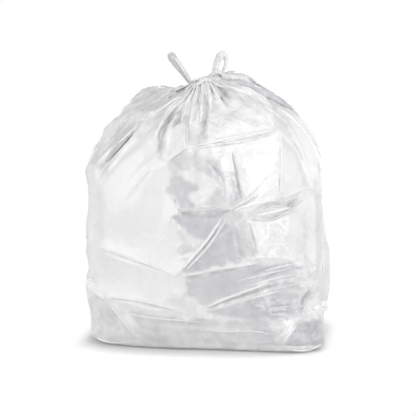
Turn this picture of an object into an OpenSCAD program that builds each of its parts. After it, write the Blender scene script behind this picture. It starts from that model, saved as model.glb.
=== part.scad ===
// Filled 240-litre bin liner, gathered and knotted at the neck.
// One tube of thin film, welded at the foot and knotted in itself, drawn as one closed solid.
// Origin: centre of the flat foot, on the floor. +X is the liner's width, -Y its front, +Z is up.

/* [Sack] */
// Width of the filled sack at its fullest
sack_w = 664; // [560:5:820]
// Depth of the filled sack from front to back at its fullest
sack_d = 560; // [440:5:680]
// Height of the fullest level, where the sides turn in towards the neck
shoulder_h = 485; // [380:5:600]
// Height of the tied neck
neck_h = 738; // [650:5:860]
// How far the film draws up into a peak round the neck
neck_rise = 22; // [0:1:50]
// How far the fullest level and the neck lean to the left
lean = 17; // [0:1:40]
// Leanness of the dome between the fullest level and the neck, where 1 is an ellipse
dome_lean = 1.22; // [1:0.02:1.5]

/* [Foot] */
// Width of the sack just above its rounded foot
foot_w = 668; // [520:4:720]
// Depth of the sack just above its rounded foot
foot_d = 530; // [420:4:620]
// Width of the flat that rests on the floor
flat_w = 628; // [480:4:700]
// Depth of the flat that rests on the floor
flat_d = 420; // [360:4:600]
// Height over which the foot rounds up from the flat into the walls
foot_h = 48; // [15:1:70]

/* [Plan shape] */
// Squareness of the foot in plan, where 2 is an ellipse
foot_square = 4.4; // [2.4:0.1:6]
// Squareness of the fullest level in plan
shoulder_square = 2.9; // [2:0.1:4]
// Squareness of the neck in plan
neck_square = 2.1; // [2:0.1:3]

/* [Neck and gathers] */
// Width of the gathered neck
neck_w = 78; // [50:2:120]
// Depth of the gathered neck
neck_d = 52; // [36:2:90]
// Number of gathers that run down from the neck
gathers = 26; // [16:1:34]
// Height of a gather's ridge above its valleys, half way down the shoulder
gather_h = 15; // [4:1:24]
// Height of a gather's ridge at the neck
neck_gather_h = 5; // [2:0.5:8]

/* [Folds] */
// Factor on the height of every crease, tuck and hollow in the film
crease_scale = 1; // [0.4:0.05:1.3]
// How far the folded corner of the welded foot stands out on each side
dog_ear_h = 15; // [0:1:30]

/* [Knot and ears] */
// Width of the knot
knot_w = 58; // [40:1:80]
// Thickness of the rolled film in the knot
knot_roll = 24; // [16:1:34]
// Length of the left ear above the neck, along the film
left_ear_l = 106; // [70:2:150]
// Width of the left ear's flattened film at its widest
left_ear_w = 25; // [16:1:36]
// Length of the right ear above the knot
right_ear_l = 68; // [40:2:90]
// Width of the right ear's loop, outside
right_ear_w = 30; // [24:1:44]
// Width of each strand of the right ear's loop
right_strand_w = 9; // [7:0.5:12]
// Thickness of the film that is folded together in an ear
ear_t = 9; // [6:0.5:14]

/* [Hidden] */

// Columns round the sack, rows up its wall and rows over its dome
columns = 108;
foot_rows = 4;
wall_rows = 20;
dome_rows = 21;
rows = foot_rows + wall_rows + dome_rows;
// Length along the film from one whole level to the next
level_mm = 0.97 * shoulder_h;
// Scale of the lists of folds below, whose reaches and heights are those of a sack of this width
listed_w = 664;
fold_size = sack_w / listed_w;

// Levels: 0 is the floor, 1 the fullest level and 2 the neck.
// Azimuths: 0 is +X, 90 the back, 180 the left and 270 the front.
foot_level = foot_h / shoulder_h;
function level_of(row) =
    row <= foot_rows ? foot_level * (1 - cos(90 * row / foot_rows))
    : row <= foot_rows + wall_rows ? foot_level + (1 - foot_level) * (row - foot_rows) / wall_rows
    : 1 + (row - foot_rows - wall_rows) / dome_rows;

function clamp(x) = max(0, min(1, x));
function smooth(x) = let (t = clamp(x)) t * t * (3 - 2 * t);
function mix(a, b, t) = a + (b - a) * t;
// Shortest turn from azimuth b to azimuth a, from -180 to 180
function turn(a, b) = let (d = a - b) d - 360 * floor((d + 180) / 360);

// Half the width (or depth) at a level, from the sizes of the flat, the foot, the fullest level and the neck
function half_size(level, flat, foot, full, neck) =
    level < foot_level ? let (k = 1 - level / foot_level) mix(flat / 2, foot / 2, sqrt(1 - k * k))
    : level < 1 ? mix(foot / 2, full / 2, sin(90 * (level - foot_level) / (1 - foot_level)))
    : mix(neck / 2, full / 2, pow(cos(90 * (level - 1)), dome_lean));

function squareness(level) =
    level < 1 ? mix(foot_square, shoulder_square, level) : mix(shoulder_square, neck_square, level - 1);

// Radius of the plain sack at an azimuth and a level
function radius(a, level) =
    let (hx = half_size(level, flat_w, foot_w, sack_w, neck_w),
        hy = half_size(level, flat_d, foot_d, sack_d, neck_d),
        n = squareness(level))
    pow(pow(abs(cos(a)) / hx, n) + pow(abs(sin(a)) / hy, n), -1 / n);

function height(level) =
    level < 1 ? level * shoulder_h
    : mix(shoulder_h, neck_h - neck_rise, sin(90 * (level - 1))) + neck_rise * pow(level - 1, 6);

// Direction in which the film swells or folds at a place
function outward(a, level) =
    let (up = level < 1 ? 0 : 90 * (level - 1))
    [cos(a) * cos(up), sin(a) * cos(up), sin(up)];

// Swells and hollows that the contents press into the film: [azimuth, level, reach, height]
swells = [
    [56, 1.66, 150, 62], [36, 1.48, 110, 18], [100, 1.52, 120, 18], [160, 1.64, 110, 32], [150, 1.40, 120, -8],
    [4, 1.30, 130, -10], [345, 1.60, 100, -12], [196, 1.42, 120, -12], [214, 1.30, 110, -8],
    [4, 0.80, 140, -12], [10, 0.28, 130, 8], [326, 0, 150, 24], [216, 0, 160, -14],
    [300, 0.72, 110, 10], [262, 0.86, 100, -10], [240, 0.85, 130, 8], [275, 0.40, 90, -9],
    [300, 1.18, 110, 9], [120, 0.80, 140, -10], [70, 0.90, 150, 9], [95, 0.45, 120, -9],
    [48, 0.45, 120, 8], [145, 0.35, 130, 9], [88, 1.15, 130, 8]];

// Creases of the front: [azimuth, level, azimuth, level, half width, height], valleys below zero
front_creases = [
    [246, 1.72, 237, 1.43, 34, -24], [237, 1.43, 219, 1.02, 32, -20], [236, 1.60, 222, 1.20, 26, -12],
    [241, 1.66, 231, 1.40, 26, 12], [229, 1.42, 216, 1.12, 28, 13],
    [252, 1.66, 254, 1.38, 30, -18], [254, 1.38, 250, 1.17, 34, -18], [259, 1.60, 256, 1.36, 24, -12],
    [263, 1.62, 268, 1.24, 24, 12], [271, 1.82, 276, 1.53, 26, -14], [276, 1.53, 274, 1.32, 24, -10],
    [288, 1.84, 291, 1.54, 26, 12], [303, 1.85, 304, 1.60, 26, -12],
    [309, 1.88, 336, 1.72, 26, 15], [336, 1.72, 330, 1.53, 28, 14], [330, 1.53, 322, 1.34, 28, 12],
    [268, 1.23, 296, 1.28, 26, 12], [296, 1.28, 324, 1.35, 26, 12], [268, 1.23, 256, 1.12, 26, 11],
    [294, 1.21, 296, 0.90, 30, -10], [257, 1.12, 260, 0.96, 30, -9], [260, 0.96, 265, 0.68, 32, -10],
    [291, 0.84, 305, 0.93, 28, 12], [305, 0.93, 317, 1.05, 28, 10],
    [292, 0.83, 307, 0.87, 26, 12], [307, 0.87, 336, 0.95, 28, 11],
    [302, 0.76, 320, 0.83, 28, -9], [320, 0.83, 329, 0.88, 26, 8],
    [292, 0.83, 278, 0.63, 30, 14], [278, 0.63, 262, 0.47, 30, 14],
    [263, 0.43, 295, 0.50, 28, 12], [295, 0.50, 318, 0.54, 28, 9],
    [273, 0.25, 305, 0.38, 28, 12], [305, 0.38, 318, 0.41, 26, 9],
    [217, 0.57, 241, 0.51, 28, 11], [241, 0.51, 263, 0.44, 28, 12],
    [219, 0.31, 250, 0.26, 28, 11], [250, 0.26, 272, 0.24, 28, 10],
    [263, 0.43, 270, 0.25, 32, -13], [301, 0.76, 303, 0.57, 28, 9],
    [218, 0.30, 230, 0.19, 26, 11], [230, 0.19, 237, 0.09, 26, 9],
    [322, 0.23, 311, 0.06, 30, 13], [326, 0.38, 322, 0.23, 26, -12],
    [293, 0.24, 331, 0.24, 26, 8], [288, 0.13, 312, 0.12, 28, -9]];

// Creases of the sides and the back, in the same form
back_creases = [
    [214, 1.44, 206, 1.08, 30, -15], [200, 1.52, 196, 1.12, 28, -14], [190, 1.60, 181, 1.26, 24, 10],
    [178, 1.34, 172, 0.94, 30, -12], [158, 1.60, 150, 1.20, 28, -15], [138, 1.66, 142, 1.24, 26, 11],
    [124, 1.55, 116, 1.12, 30, -16], [106, 1.70, 100, 1.30, 26, 12], [90, 1.62, 92, 1.20, 30, -15],
    [76, 1.58, 70, 1.16, 28, -13], [58, 1.52, 50, 1.10, 28, 12], [40, 1.60, 34, 1.16, 30, -15],
    [22, 1.56, 16, 1.18, 26, 11], [4, 1.62, 2, 1.22, 28, -13], [344, 1.50, 340, 1.12, 28, -12],
    [336, 1.10, 352, 0.86, 26, 10], [352, 0.86, 8, 0.76, 26, 9], [8, 0.76, 30, 0.84, 24, 9],
    [30, 0.84, 52, 0.70, 26, 11], [52, 0.70, 78, 0.62, 26, 10], [78, 0.62, 96, 0.74, 26, 11],
    [96, 0.74, 124, 0.62, 26, 10], [124, 0.62, 150, 0.70, 26, 11], [150, 0.70, 178, 0.60, 26, 10],
    [178, 0.60, 206, 0.68, 26, 9], [96, 0.74, 104, 1.04, 26, 9], [52, 0.70, 44, 1.00, 26, 9],
    [150, 0.70, 160, 0.98, 26, 9], [16, 0.52, 44, 0.40, 26, 9], [44, 0.40, 70, 0.34, 26, 10],
    [70, 0.34, 100, 0.44, 26, 10], [100, 0.44, 130, 0.34, 26, 10], [130, 0.34, 160, 0.42, 26, 9],
    [44, 0.16, 66, 0.24, 26, -10], [110, 0.15, 136, 0.22, 26, -10], [84, 0.18, 90, 0.34, 24, 9],
    [200, 0.42, 190, 0.24, 26, 9], [206, 0.20, 196, 0.10, 24, -8], [340, 0.50, 356, 0.42, 26, 9]];

creases = concat(front_creases, back_creases);

// Folded corners of the welded foot, pressed up each side: [azimuth, level of the tip, level of the root]
dog_ears = [[204, 0.33, 0.05], [2, 0.20, 0.02]];

// Height of one swell at a place, where r is the sack's radius there
function swell(s, a, level, r) =
    let (d = norm([turn(a, s[0]) * r * PI / 180, (level - s[1]) * level_mm]))
    d < s[2] * fold_size ? s[3] * fold_size * (1 + cos(180 * d / (s[2] * fold_size))) / 2 : 0;

// Height of one crease at a place: a ridge with straight flanks that runs out at both ends
function crease(c, a, level, r) =
    let (along = [turn(c[2], c[0]) * r * PI / 180, (c[3] - c[1]) * level_mm],
        place = [turn(a, c[0]) * r * PI / 180, (level - c[1]) * level_mm],
        t = clamp(place * along / (along * along + 1)),
        d = norm(place - t * along) / fold_size)
    d < c[4] ? c[5] * fold_size * (1 - d / c[4]) * (0.55 + 0.45 * sin(180 * t)) : 0;

// Each gather's own start level, ridge height and shift round the neck
gather_start = rands(1.02, 1.42, gathers, 31);
gather_size = rands(0.45, 1.15, gathers, 57);
gather_shift = rands(-0.22, 0.22, gathers + 1, 83);

// Height of the gathers at a place: round ridges with sharp valleys between them
function gather(a, level) =
    level <= 1 ? 0
    : let (u = a * gathers / 360, k = floor(u), i = k % gathers, j = (k + 1) % gathers,
        from = k + gather_shift[i], to = k + 1 + gather_shift[j],
        inside = u >= from && u < to,
        own = inside ? i : u < from ? (i + gathers - 1) % gathers : j,
        left = inside ? from : u < from ? k - 1 + gather_shift[own] : to,
        right = inside ? to : u < from ? from : k + 2 + gather_shift[(j + 1) % gathers],
        across = clamp((u - left) / (right - left)),
        grow = smooth((level - gather_start[own]) / 0.45),
        h = mix(gather_h, neck_gather_h, smooth((level - 1.55) / 0.42)))
    grow * h * gather_size[own] * (sin(180 * across) - 0.5);

// Height of the folded corners at a place: a triangle of film with a free point at the top
function dog_ear(e, a, level, r) =
    let (v = clamp((level - e[2]) / (e[1] - e[2])),
        off = abs(turn(a, e[0])) * r * PI / 180,
        reach = (70 * v + 14) * fold_size)
    level > e[1] + 0.03 ? 0 : dog_ear_h * smooth(v * 1.1) * clamp(1 - off / reach);

// Nothing moves the film at the floor, nor at the neck's own rim
function hold(level) = smooth(level / 0.09);

function relief(a, level) =
    let (r = radius(a, level))
    (sum([for (s = swells) swell(s, a, level, r)])
        + hold(level) * crease_scale * sum([for (c = creases) crease(c, a, level, r)])
        + hold(level) * sum([for (e = dog_ears) dog_ear(e, a, level, r)]))
    * (1 - 0.75 * smooth((level - 1.72) / 0.25)) + gather(a, level);

function sum(list) = len(list) == 0 ? 0 : list * [for (x = list) 1];

azimuths = [for (i = [0 : columns - 1]) 360 * i / columns];
levels = [for (j = [0 : rows]) level_of(j)];
reliefs = [for (level = levels) [for (a = azimuths) relief(a, level)]];

function lean_at(level) = -lean * smooth((level - 0.3) / 0.7);

film_points = [
    for (j = [0 : rows], i = [0 : columns - 1])
        let (a = azimuths[i], level = levels[j], r = radius(a, level))
        [r * cos(a) + lean_at(level), r * sin(a), height(level)] + reliefs[j][i] * outward(a, level)];

// Quads of the wall, each split along the diagonal that follows its ridge
function quad(j, i) =
    let (k = (i + 1) % columns, p = j * columns + i, q = j * columns + k, s = p + columns, t = q + columns,
        rising = reliefs[j][i] + reliefs[j + 1][k] > reliefs[j][k] + reliefs[j + 1][i])
    rising ? [[p, t, q], [p, s, t]] : [[p, s, q], [q, s, t]];

foot_centre = len(film_points);
neck_centre = foot_centre + 1;
film_faces = concat(
    [for (j = [0 : rows - 1], i = [0 : columns - 1]) each quad(j, i)],
    [for (i = [0 : columns - 1]) [i, (i + 1) % columns, foot_centre]],
    [for (i = [0 : columns - 1]) [rows * columns + (i + 1) % columns, rows * columns + i, neck_centre]]);

// The filled sack up to its neck
module sack() {
    polyhedron(concat(film_points, [[0, 0, 0], [-lean, 0, neck_h]]), film_faces, convexity = 6);
}

// Centre of the knot, which sits on the right half of the neck
knot_centre = [-lean + neck_w * 0.44, -neck_d * 0.08, neck_h + knot_roll / 2];
turn_r = (knot_w - knot_roll) / 2;

// One bead of gathered film, as wide and high as w and as thick as t, turned about the vertical
module bead(place, w, t, turned) {
    translate(place) rotate(turned) scale([w, t, w]) sphere(d = 1, $fn = 10);
}

// A run of gathered film: a strand through the places, with its width at each and one thickness
module strand(places, widths, t, turned = 0) {
    for (i = [0 : len(places) - 2])
        hull() {
            bead(places[i], widths[i], t, turned);
            bead(places[i + 1], widths[i + 1], t, turned);
        }
}

// The overhand knot: a turn of rolled film round the neck, with the end drawn over its front and through
module knot() {
    turned = [0 : 45 : 360];
    strand([for (a = turned) knot_centre + [turn_r * cos(a), turn_r * sin(a), turn_r / 3 * sin(a + 120)]],
        [for (a = turned) knot_roll * (0.85 + 0.15 * cos(a))], knot_roll);
    strand([knot_centre + [-turn_r * 1.6, -turn_r * 0.9, -knot_roll / 2], knot_centre + [0, -turn_r, knot_roll / 4],
        knot_centre + [turn_r * 0.4, 0, knot_roll / 2]],
        [for (share = [0.6, 0.8, 1]) knot_roll * share], knot_roll * 0.7);
}

// The left ear: a long flattened loop of film, narrow where it leaves the neck, that leans out to the left
module left_ear() {
    root = [-lean - neck_w * 0.45, -neck_d * 0.12, neck_h - neck_w * 0.13];
    way = [-0.53, 0, 0.848];
    places = [0, 0.14, 0.34, 0.60, 0.84, 1];
    fullness = [0.7, 0.4, 0.62, 0.9, 1, 0.72];
    strand([for (t = places) root + way * left_ear_l * t], [for (f = fullness) left_ear_w * f], ear_t, 12);
}

// The right ear: a short loop of film that stands up from the knot, with a slit between its two strands
module right_ear() {
    root = knot_centre + [turn_r * 0.65, 0, knot_roll / 4];
    way = [0.17, 0, 1] * right_ear_l;
    half = (right_ear_w - right_strand_w) / 2;
    top = 0.92;
    left_side = [[-0.4, 0], [-0.7, 0.3], [-0.5, 0.66], [0, top]];
    right_side = [[0.3, 0], [0.6, 0.3], [1.1, 0.64], [0.8, top], [0, top]];
    for (side = [left_side, right_side])
        strand([for (p = side) root + [p[0] * half, 0, 0] + way * p[1]], [for (p = side) right_strand_w], ear_t);
}

module liner() {
    color([0.86, 0.87, 0.90])
        union() {
            sack();
            knot();
            left_ear();
            right_ear();
        }
}

liner();
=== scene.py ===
"""Dresses the filled, knotted bin liner: creased film, gathered neck, knot and ears, on a white floor."""
import math

import bpy
import numpy as np
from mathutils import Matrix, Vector, noise
from mathutils.bvhtree import BVHTree
from mathutils.kdtree import KDTree


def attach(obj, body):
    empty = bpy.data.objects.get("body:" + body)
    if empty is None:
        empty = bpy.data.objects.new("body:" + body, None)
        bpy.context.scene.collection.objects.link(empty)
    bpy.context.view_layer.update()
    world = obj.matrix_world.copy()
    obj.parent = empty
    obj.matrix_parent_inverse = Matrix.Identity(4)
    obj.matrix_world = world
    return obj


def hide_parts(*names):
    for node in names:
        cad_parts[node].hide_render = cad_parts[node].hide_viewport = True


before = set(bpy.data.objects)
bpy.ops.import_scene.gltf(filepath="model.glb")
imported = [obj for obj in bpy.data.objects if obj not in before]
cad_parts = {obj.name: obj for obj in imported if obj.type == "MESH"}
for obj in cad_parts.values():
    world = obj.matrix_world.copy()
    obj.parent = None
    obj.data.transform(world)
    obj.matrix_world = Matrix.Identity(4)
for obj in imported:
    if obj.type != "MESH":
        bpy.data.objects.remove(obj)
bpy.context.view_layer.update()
bpy.ops.object.select_all(action="DESELECT")

MM = 0.001

# The photograph's frame in pixels, and the camera that fits it
PHOTO_SIDE = 416
CAMERA_AZIMUTH, CAMERA_ELEVATION = 8.0, 7.0
CAMERA_DISTANCE = 4.5
METRES_PER_PIXEL = 0.0029
AIM = Vector((0.0, 0.0, 0.372))
FOCAL_PIXELS = CAMERA_DISTANCE / METRES_PER_PIXEL
SENSOR_MM = 36.0
FARTHEST_SEEN = 60

# The film's grid: columns round the sack, packed closer in front, and rings from the foot's centre to the
# neck, whose collar is given by each ring's share of the neck and its lift; then the weld of its seams
COLUMNS = 432
RINGS = 212
FRONT_AZIMUTH = math.radians(278)
FRONT_CROWDING = 0.28
GRID_CENTRE = Vector((-0.010, 0.0, 0.330))
NECK_CENTRE = Vector((-0.014, 0.0, 0.727))
NECK_HALF = (0.046, 0.022)
COLLAR = [(0.86, 0.004), (0.72, 0.006), (0.55, 0.007), (0.30, 0.007)]
SEAM_WELD = 0.00002

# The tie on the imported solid, which its smooth copy leaves out: how far it reaches below the neck's centre,
# round it and behind it, and the same for the stem of the ears, in metres; then the weld that merges the
# solid's corners and the angles up to which its triangles are joined in pairs
TIE_DROP, TIE_REACH, TIE_BACK = 0.012, 0.13, 0.03
STEM_DROP, STEM_REACH = 0.008, 0.04
CORNER_WELD = 0.00001
JOIN_TURN, JOIN_SKEW = math.radians(60), math.radians(70)

# Rays that find the film's rings: lowest and highest elevation in degrees, how many are tried and at which
# azimuths, and the level under which the film lies on the floor, with the share of the rings that it gets
LOWEST_RAY, HIGHEST_RAY, TRIED_RAYS = -89.5, 84.0, 500
TRIED_AZIMUTHS = (20, 90, 160, 200, 240, 280, 320)
FLOOR_LEVEL, FLOOR_SHARE = 0.002, 0.16

# The neck: the share of the rings above which it is looked for, how many times its size is cleared round it,
# and the power of the film's rise to it
NECK_FROM, NECK_CLEAR, NECK_RISE = 0.7, 1.15, 0.8

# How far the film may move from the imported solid, how far a facet's turn reaches, and the scale of the folds
OUTWARD_LIMIT, INWARD_LIMIT = 0.018, 0.024
TURN_REACH = 0.22
FOLD_SCALE = 1.3

# The least facing that still counts when the film turns, the range of its weights, and the solver's rounds
LEAST_FACING = 0.5
TURN_WEIGHTS = (0.1, 10)
SOLVER_ROUNDS = 500

# How much painted shade darkens a fold's valley and painted highlight lightens its ridge, for each millimetre
# of its height, and at most; how high and how wide it still is at its ends
FOLD_PAINTED_LIGHT, FOLD_PAINTED_LIGHT_LIMIT = 0.20, 0.72
FOLD_END_HEIGHT, FOLD_END_WIDTH = 0.15, 0.6

# How far the edges of the facets wander, in pixels for a whole unit of noise, and over what length in metres
EDGE_WANDER = 4.4
EDGE_LENGTH = 0.030

# Facing towards the photograph's camera at which its facets begin, and over what range; the heights above the
# floor at which facets and relief begin, and over what range; and the start of the random draws and the noise
SEEN_FROM, SEEN_RANGE = 0.10, 0.25
FACETS_FROM, FACETS_RANGE = 0.004, 0.02
RELIEF_FROM, RELIEF_RANGE = 0.001, 0.016
DRAWS_START = 20

# Colours of the film: deep in a fold, which is painted shade; dull, partly dark contents seen through the film
# and partly painted shade; between;
# and where it is palest, which also carries painted highlights. Then where the middle two fall on the way from
# the deepest to the palest, and its finish
FILM_PAINTED_FOLD_SHADE = (0.400, 0.398, 0.412)
FILM_DULL = (0.500, 0.493, 0.526)
FILM_MIDDLE = (0.600, 0.600, 0.603)
FILM_PALE = (0.785, 0.785, 0.785)
DULL_AT, MIDDLE_AT = 0.18, 0.47
FILM_ROUGHNESS, FILM_IOR = 0.20, 1.80

# Fine crinkles: how far and how often their cells bend, cells per metre with each one's share, the grain, the
# height in metres and the strength of the whole, and the mottle that changes how pale the film is
CRINKLE_BEND, CRINKLE_BEND_SCALE = 0.03, 22.0
CRINKLE_CELLS = [(38.0, 1.0), (95.0, 0.45)]
GRAIN_SCALE, GRAIN_SHARE, GRAIN_DETAIL = 160.0, 0.25, 3.0
CRINKLE_HEIGHT, CRINKLE_STRENGTH = 0.004, 0.7
MOTTLE, MOTTLE_SCALE, MOTTLE_DETAIL, MOTTLE_TWIST = 0.6, 34.0, 5.0, 1.2

# The floor: its side in metres, colour, roughness and sheen, and how much it is lifted towards white
FLOOR_SIDE = 40
FLOOR_COLOUR = (0.92, 0.92, 0.92, 1)
FLOOR_ROUGHNESS, FLOOR_SHEEN = 0.9, 0.1
FLOOR_LIFT = 0.34

# The area of the floor that keeps the shadow: its half size, the power that rounds its corners, and the
# shares of it where the shadow fades
SHADOW_REACH = (0.368, 0.56)
SHADOW_CORNERS = 4.0
SHADOW_FADE = (0.88, 1.02)

# The painted contact shadow under the sack, drawn from ambient occlusion: its reach in metres, the openness
# over which it shows, its depth
CONTACT_REACH = 0.16
CONTACT_OPEN = (0.50, 0.97)
CONTACT_SHADE = 0.42

# The fill from all round, and the lamps: name, azimuth in degrees, distance, height of the middle, width and
# height of the lamp in metres, and radiance; and the height that they are aimed at
WHITE, BLACK = (1, 1, 1, 1), (0, 0, 0, 1)
FILL_COLOUR, WORLD_FILL = (0.8, 0.8, 0.8, 1), 0.50
LAMPS = [
    ("left_softbox", -53, 2.2, 1.05, 2.9, 2.1, 1.10),
    ("front_softbox", 27, 2.4, 1.0, 1.5, 1.9, 2.10),
    ("right_softbox", 82, 2.2, 1.05, 2.0, 2.0, 1.45),
    ("top_softbox", 20, 0.7, 2.6, 1.5, 1.5, 1.45),
    ("back_softbox", 188, 2.6, 1.1, 2.2, 1.8, 1.8),
]
LAMP_AIM = 0.35

# Facets of the film seen in the photograph: the way each one faces, as azimuth (0 to the front, positive to
# the right) and elevation in degrees; how pale it is, from 0 to 1, which is partly dark contents under the
# film and partly painted shade where a facet turns from the lamps and painted reflection where it turns to
# them; how crumpled it is, as a share of the random cells' turns; and its corners in the photograph's pixels
FACETS = [
    # the left panel, turned to the left lamp, with its ragged right edge
    ((-27, 5, 0.85, 0.15), [(88, 172), (98, 166), (112, 156), (135, 134), (152, 118), (157, 155),
     (166, 162), (170, 168), (166, 187), (175, 205), (172, 222), (150, 232), (120, 236), (88, 240)]),
    ((-22, 3, 0.92, 0.25), [(88, 240), (120, 236), (150, 232), (172, 222), (182, 235), (200, 245),
     (183, 268), (175, 277), (140, 262), (90, 250)]),
    ((-27, 5, 0.85, 0.3), [(88, 250), (97, 250), (140, 262), (175, 277), (182, 277), (186, 287),
     (180, 303), (150, 300), (106, 296), (88, 290)]),
    ((-18, 3, 0.62, 0.4), [(106, 298), (150, 302), (191, 297), (198, 311), (196, 320), (150, 316),
     (118, 310)]),
    # the left shoulder
    ((-20, 46, 0.3, 0.7), [(132, 98), (150, 91), (175, 91), (183, 95), (168, 103), (150, 112),
     (134, 107)]),
    ((-42, 34, 0.92, 0.7), [(128, 104), (134, 108), (148, 113), (120, 142), (100, 160), (92, 160),
     (100, 134), (114, 117)]),
    # round the neck and over the right shoulder
    ((-2, 36, 1.0, 0.7), [(184, 92), (192, 84), (216, 82), (224, 92), (206, 104), (198, 128), (190, 108),
     (178, 112)]),
    ((40, 44, -0.16, 0.7), [(216, 83), (246, 80), (264, 87), (282, 100), (294, 111), (283, 107),
     (262, 98), (240, 89)]),
    # between the gathers, below the neck
    ((-14, 20, 1.0, 0.7), [(172, 126), (181, 120), (187, 145), (166, 162), (159, 152)]),
    ((-8, 24, 0.35, 0.7), [(189, 110), (200, 128), (200, 136), (190, 144), (188, 138)]),
    ((3, 25, 0.58, 0.8), [(204, 100), (232, 102), (236, 120), (206, 137)]),
    ((16, 30, 0.65, 0.7), [(232, 90), (262, 103), (276, 128), (240, 120), (234, 104)]),
    ((17, 14, 1.0, 0.7), [(206, 137), (238, 120), (277, 129), (230, 138), (196, 145)]),
    # the bright square under the double crease, whose pale tone adds a painted highlight to the lamp's
    # reflection, and the dull panels left of it
    ((15, 4, 1.0, 0.7), [(196, 149), (280, 132), (280, 168), (262, 180), (242, 198), (238, 180),
     (232, 152)]),
    ((15, 2, 0.9, 0.7), [(242, 199), (262, 182), (280, 172), (279, 200), (258, 203), (236, 210)]),
    ((1, 8, 0.3, 0.9), [(168, 164), (189, 149), (196, 152), (210, 158), (222, 168), (218, 184),
     (206, 175), (184, 171)]),
    ((13, 6, 0.9, 0.9), [(196, 150), (232, 151), (236, 171), (228, 170), (220, 160), (210, 156)]),
    ((-15, 8, 0.85, 0.7), [(174, 171), (188, 173), (190, 168), (204, 174), (218, 184), (215, 192),
     (207, 197), (196, 207), (187, 198), (196, 191), (192, 183), (181, 177)]),
    ((1, 2, 0.35, 0.9), [(222, 168), (236, 171), (241, 198), (231, 209), (200, 207), (210, 197),
     (218, 184)]),
    ((0, 2, 0.16, 0.7), [(171, 176), (183, 181), (194, 185), (196, 190), (186, 197), (196, 207),
     (178, 210), (174, 204), (176, 196), (169, 190)]),
    ((2, -3, 0.06, 0.45), [(178, 212), (231, 212), (212, 226), (206, 240), (192, 236), (184, 228),
     (172, 220)]),
    ((-8, 2, 0.65, 0.9), [(184, 229), (192, 236), (205, 243), (184, 264), (177, 252)]),
    # the star of folds right of the middle
    ((16, 10, 1.0, 0.9), [(236, 210), (258, 204), (279, 201), (290, 207), (268, 206), (252, 214)]),
    ((4, -4, 0.35, 0.6), [(258, 254), (274, 234), (272, 250)]),
    ((12, 2, 0.9, 0.9), [(234, 213), (252, 215), (272, 206), (290, 208), (275, 216), (250, 220)]),
    ((17, 3, 0.75, 0.7), [(250, 222), (290, 217), (290, 232), (283, 250), (257, 258)]),
    ((24, 4, 0.38, 0.4), [(281, 132), (296, 150), (308, 176), (314, 200), (314, 262), (292, 258),
     (290, 205), (281, 170)]),
    # the light left edge, a painted highlight
    ((-50, 5, 1.0, 0.3), [(80, 166), (91, 162), (92, 200), (93, 245), (95, 292), (82, 300)]),
    # the hazy outer part of the right shoulder, painted pale as a haze of light
    ((50, 12, 1.0, 0.3), [(296, 113), (310, 126), (324, 148), (326, 170), (318, 196), (310, 172),
     (300, 150), (286, 131)]),
    # the dull panels of the middle, dark contents under the film with painted shade
    ((2, 3, 0.33, 0.7), [(225, 217), (236, 213), (250, 222), (256, 257), (246, 259), (238, 232)]),
    ((0, -2, 0.0, 0.5), [(222, 219), (237, 230), (244, 260), (183, 274), (184, 268), (206, 244)]),
    ((-3, -6, 0.1, 0.5), [(184, 279), (240, 269), (300, 262), (302, 280), (262, 284), (205, 306),
     (197, 306), (190, 295)]),
    ((-3, -6, 0.0, 0.5), [(207, 307), (262, 286), (300, 282), (302, 288), (262, 295), (208, 309)]),
    ((-3, -8, 0.08, 0.5), [(206, 313), (262, 298), (300, 290), (298, 320), (262, 322), (232, 320)]),
    ((15, 5, 0.45, 0.7), [(258, 260), (284, 250), (312, 262), (314, 284), (302, 286), (298, 264),
     (262, 268)]),
    ((12, 3, 0.32, 0.9), [(302, 290), (318, 288), (322, 316), (300, 322)]),
    # the foot, mostly painted darker as shade near the floor
    ((2, -20, -0.14, 0.9), [(299, 323), (322, 318), (322, 344), (305, 355), (282, 348), (292, 334)]),
    ((-4, -12, 0.45, 0.9), [(98, 305), (112, 306), (122, 314), (134, 336), (118, 342), (98, 336)]),
    ((-4, -20, -0.05, 0.7), [(146, 338), (190, 333), (240, 335), (284, 340), (282, 352), (240, 352),
     (200, 350), (148, 345)]),
    ((2, -6, 0.12, 1.0), [(250, 298), (272, 296), (284, 300), (283, 312), (262, 314), (250, 308)]),
    ((-3, -10, 0.75, 1.0), [(178, 320), (196, 317), (212, 322), (210, 336), (190, 338)]),
    ((-6, -13, 0.26, 0.7), [(136, 334), (126, 314), (196, 322), (262, 324), (292, 334), (280, 348),
     (200, 346), (140, 342)]),
]

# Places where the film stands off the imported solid: pixel, reach in pixels across and down, and millimetres;
# then how fast a dent fades with the square of its reach, and how far it goes on where the film faces away
DENTS = [
    (176, 80, 20, 14, -26), (86, 168, 14, 26, 4), (257, 76, 13, 11, -15), (331, 326, 14, 24, -9),
    (303, 352, 24, 14, 20), (285, 350, 16, 10, 6), (92, 338, 10, 12, 5), (206, 84, 10, 8, 4),
    (268, 84, 18, 12, -14), (330, 296, 12, 22, -6), (82, 232, 12, 34, -8),
]

DENT_FALL = 1.2
DENT_FACING_FROM, DENT_FACING_RANGE = -0.75, 0.3

# Height above the floor below which a dent only moves the film sideways
DENT_FLOOR_FADE = 0.03

# Random cells: how many, tilt in degrees, stretch along each axis, raggedness, share in the photographed
# part, and how much they change how pale the film is; then how fast their edges wander along the film
CELLS = [
    (160, 9, (1, 1, 1.7), 0.5, 0.1, 0.30),
    (800, 9, (1.5, 1.5, 1), 0.5, 0.5, 0.30),
    (3200, 8, (1, 1, 1.6), 0.4, 0.7, 0.22),
    (9000, 6, (1.4, 1.4, 1), 0.3, 0.7, 0.14),
]
CELL_WANDER = 1.3

# How pale and how crumpled the film is away from the photographed facets, and how much weaker the random
# tones are there; then the rounds of softening for the places, the tones and the crumpling, and how many
# rings under the collar keep their places
PALE_ROUND, CRUMPLE_ROUND, CALM_ROUND = 0.6, 0.8, 0.5
SOFT_PLACES, SOFT_TONES, SOFT_CRUMPLE = 2, 1, 3
SHARP_NECK_RINGS = 2

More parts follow.
